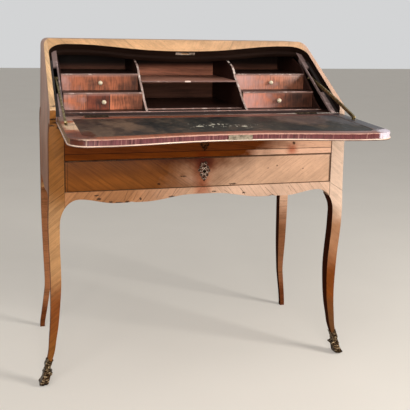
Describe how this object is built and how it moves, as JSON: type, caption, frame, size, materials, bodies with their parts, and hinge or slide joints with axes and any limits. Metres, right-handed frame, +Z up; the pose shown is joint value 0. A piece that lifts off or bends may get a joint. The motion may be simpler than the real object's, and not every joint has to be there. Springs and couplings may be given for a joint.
{
  "type": "slant-front writing desk",
  "caption": "Slant-front writing desk on cabriole legs, with a hinged leather-lined fall on stays, a fitted interior with drawers and pigeonholes, and a wide drawer in the frieze.",
  "frame": {"origin": "on the floor, at the centre of the footprint of the whole desk with its fall open", "axes": "+Z up, +X to the right of someone facing the front, -Y out of the front, towards that person"},
  "size_m": [0.923, 0.7674, 0.952],
  "materials": {
    "carcass_veneer": "satin",
    "carcass_oak": "matt",
    "interior_wood": "satin",
    "ledge_wood": "matt",
    "drawer_veneer": "satin",
    "fall_wood": "satin",
    "crossbanding": "satin",
    "writing_leather": "worn",
    "nest_veneer": "satin",
    "bone": "polished",
    "bronze": "patinated",
    "brass": "aged",
    "lock_steel": "dull"
  },
  "bodies": {
    "carcass": {"left_side_panel": "carcass_veneer", "right_side_panel": "carcass_veneer", "back_panel": "carcass_oak", "top_board": "carcass_veneer", "top_rail": "carcass_veneer", "top_stop_rail": "interior_wood", "strike_plate": "brass", "front_left_leg": "carcass_veneer", "front_right_leg": "carcass_veneer", "rear_left_leg": "carcass_veneer", "rear_right_leg": "carcass_veneer", "left_sabot": "bronze", "right_sabot": "bronze", "front_apron": "carcass_veneer", "drawer_rail": "carcass_veneer", "frieze": "carcass_veneer", "frieze_escutcheon": "bronze", "dust_board": "carcass_oak", "drawer_runners": "carcass_oak", "writing_floor": "interior_wood", "left_ledge": "ledge_wood", "right_ledge": "ledge_wood", "floor_hinge_leaves": "brass", "hinge_pins": "brass", "nest_bottom": "interior_wood", "centre_floor": "interior_wood", "left_nest_end": "interior_wood", "right_nest_end": "interior_wood", "left_divider": "interior_wood", "right_divider": "interior_wood", "drawer_shelves": "interior_wood", "centre_shelf": "interior_wood"},
    "fall": {"fall_panel": "fall_wood", "fall_crossbanding": "crossbanding", "fall_leather": "writing_leather", "fall_lock": "lock_steel", "fall_hinge_leaves": "brass", "stay_brackets": "brass"},
    "fall_bolt": {"fall_lock_bolt": "brass"},
    "left_stay_arm": {"left_stay": "brass"},
    "right_stay_arm": {"right_stay": "brass"},
    "main_drawer": {"drawer_front": "drawer_veneer", "drawer_sides": "carcass_oak", "drawer_back": "carcass_oak", "drawer_bottom": "carcass_oak", "drawer_escutcheon": "bronze", "drawer_lock": "lock_steel"},
    "main_drawer_bolt": {"drawer_lock_bolt": "brass"},
    "upper_left_drawer": {"upper_left_front": "nest_veneer", "upper_left_box": "carcass_oak", "upper_left_knob": "bone"},
    "upper_right_drawer": {"upper_right_front": "nest_veneer", "upper_right_box": "carcass_oak", "upper_right_knob": "bone"},
    "lower_left_drawer": {"lower_left_front": "nest_veneer", "lower_left_box": "carcass_oak", "lower_left_knob": "bone"},
    "lower_right_drawer": {"lower_right_front": "nest_veneer", "lower_right_box": "carcass_oak", "lower_right_knob": "bone"}
  },
  "joints": [
    {"name": "fall_hinge", "type": "hinge", "parent": "carcass", "child": "fall", "pos_m": [0, -0.05531, 0.756], "axis": [1, 0, 0], "range_deg": [-151.85, 0]},
    {"name": "fall_bolt_slide", "type": "slide", "parent": "fall", "child": "fall_bolt", "axis": [0, -0.9994, -0.0349], "range_m": [0, 0.006]},
    {"name": "left_stay_pivot", "type": "hinge", "parent": "fall", "child": "left_stay_arm", "pos_m": [-0.391, -0.17341, 0.75688], "axis": [1, 0, 0], "range_deg": [0, 110.9]},
    {"name": "right_stay_pivot", "type": "hinge", "parent": "fall", "child": "right_stay_arm", "pos_m": [0.391, -0.17341, 0.75688], "axis": [1, 0, 0], "range_deg": [0, 110.9]},
    {"name": "main_drawer_slide", "type": "slide", "parent": "carcass", "child": "main_drawer", "axis": [0, -1, 0], "range_m": [0, 0.3]},
    {"name": "main_drawer_bolt_slide", "type": "slide", "parent": "main_drawer", "child": "main_drawer_bolt", "axis": [0, 0, 1], "range_m": [0, 0.006]},
    {"name": "upper_left_drawer_slide", "type": "slide", "parent": "carcass", "child": "upper_left_drawer", "axis": [0, -1, 0], "range_m": [0, 0.15]},
    {"name": "upper_right_drawer_slide", "type": "slide", "parent": "carcass", "child": "upper_right_drawer", "axis": [0, -1, 0], "range_m": [0, 0.15]},
    {"name": "lower_left_drawer_slide", "type": "slide", "parent": "carcass", "child": "lower_left_drawer", "axis": [0, -1, 0], "range_m": [0, 0.2]},
    {"name": "lower_right_drawer_slide", "type": "slide", "parent": "carcass", "child": "lower_right_drawer", "axis": [0, -1, 0], "range_m": [0, 0.2]}
  ],
  "couplings": [
    {"joint": "left_stay_pivot", "follows": "fall_hinge", "ratio": -0.73},
    {"joint": "right_stay_pivot", "follows": "fall_hinge", "ratio": -0.73}
  ]
}
